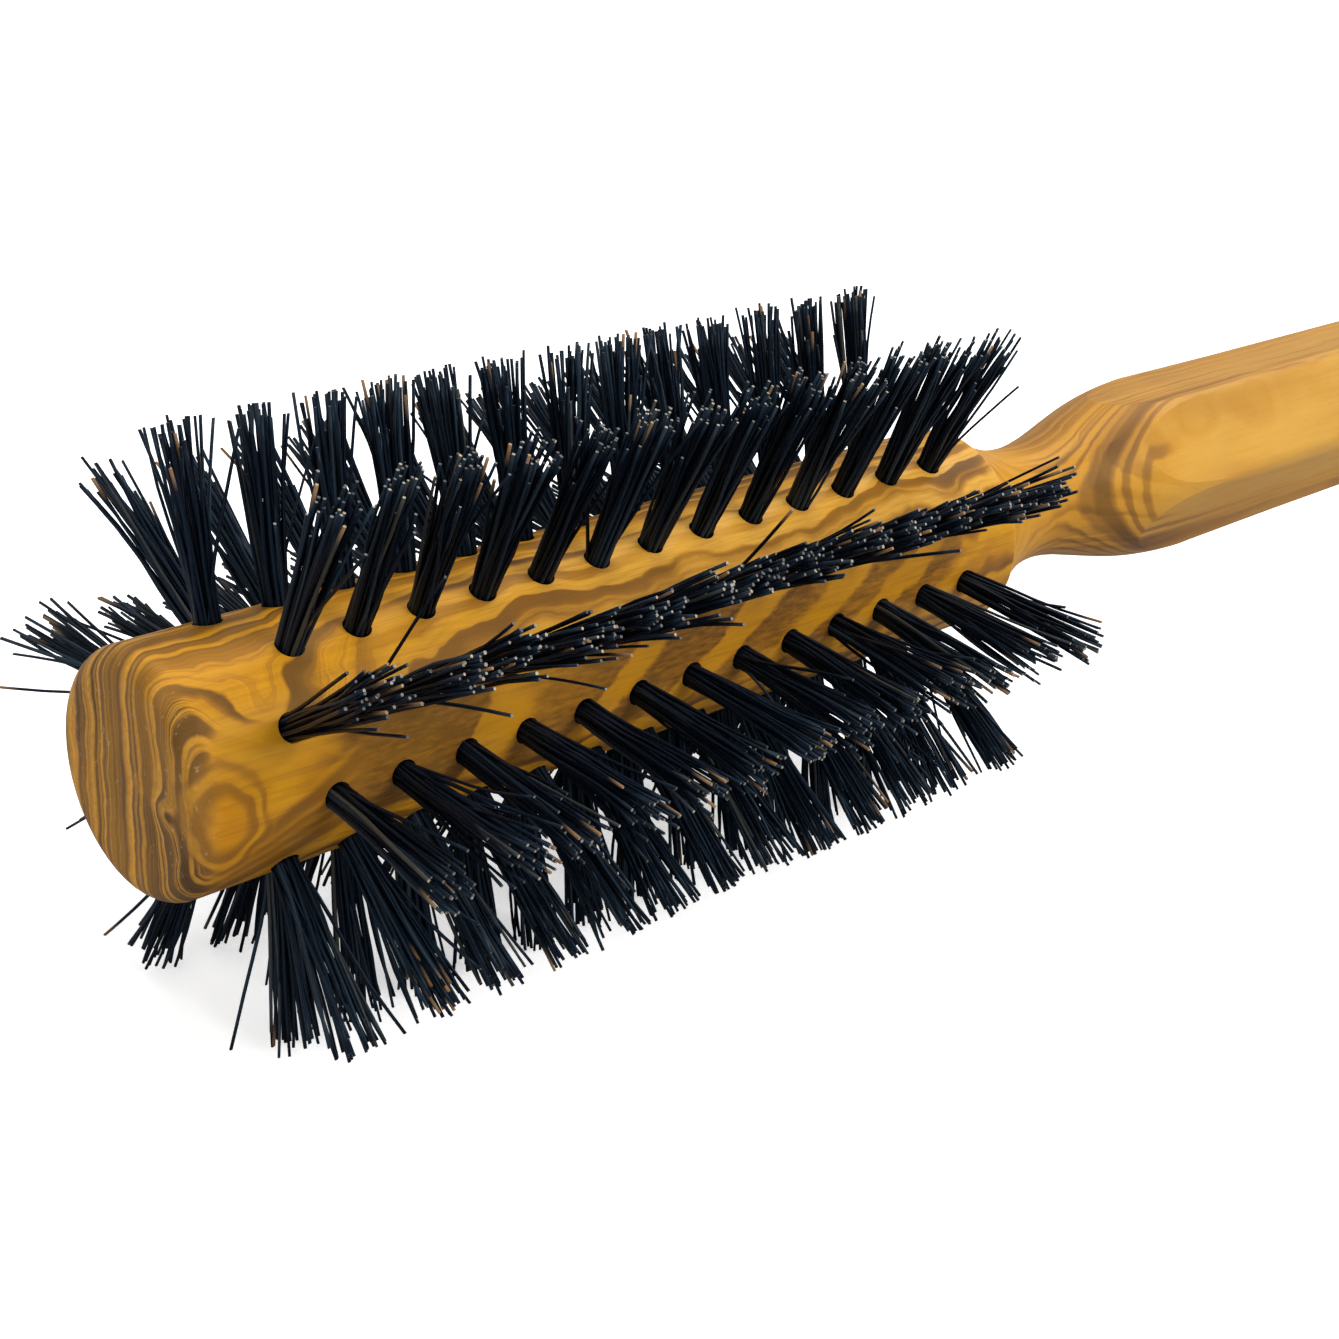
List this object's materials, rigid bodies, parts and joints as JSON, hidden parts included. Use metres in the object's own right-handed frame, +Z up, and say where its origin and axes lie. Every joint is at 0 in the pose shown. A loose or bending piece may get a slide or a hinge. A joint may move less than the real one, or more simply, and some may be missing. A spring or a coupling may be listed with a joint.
{
  "type": "round hair brush",
  "caption": "Round barrel brush for drying and rolling hair: drilled wooden barrel with bristle tufts all round, a waisted neck and a six-sided handle.",
  "frame": {"origin": "on the plane under the lowest bristle tips, under the middle of the brush's overall length", "axes": "+X along the barrel axis from the free end to the handle, +Z up, one flat of the handle faces 38.5 degrees above -Y"},
  "size_m": [0.23, 0.0514, 0.0506],
  "materials": {
    "olive_wood": "waxed, satin",
    "boar_bristle": "natural hair, slight sheen",
    "anchor_wire": "flat drawn wire"
  },
  "bodies": {
    "root": {"wood_body": "olive_wood", "bristle_row_01": "boar_bristle", "bristle_row_02": "boar_bristle", "bristle_row_03": "boar_bristle", "bristle_row_04": "boar_bristle", "bristle_row_05": "boar_bristle", "bristle_row_06": "boar_bristle", "bristle_row_07": "boar_bristle", "bristle_row_08": "boar_bristle", "bristle_row_09": "boar_bristle", "bristle_row_10": "boar_bristle", "staple_row_01": "anchor_wire", "staple_row_02": "anchor_wire", "staple_row_03": "anchor_wire", "staple_row_04": "anchor_wire", "staple_row_05": "anchor_wire", "staple_row_06": "anchor_wire", "staple_row_07": "anchor_wire", "staple_row_08": "anchor_wire", "staple_row_09": "anchor_wire", "staple_row_10": "anchor_wire"}
  },
  "joints": []
}
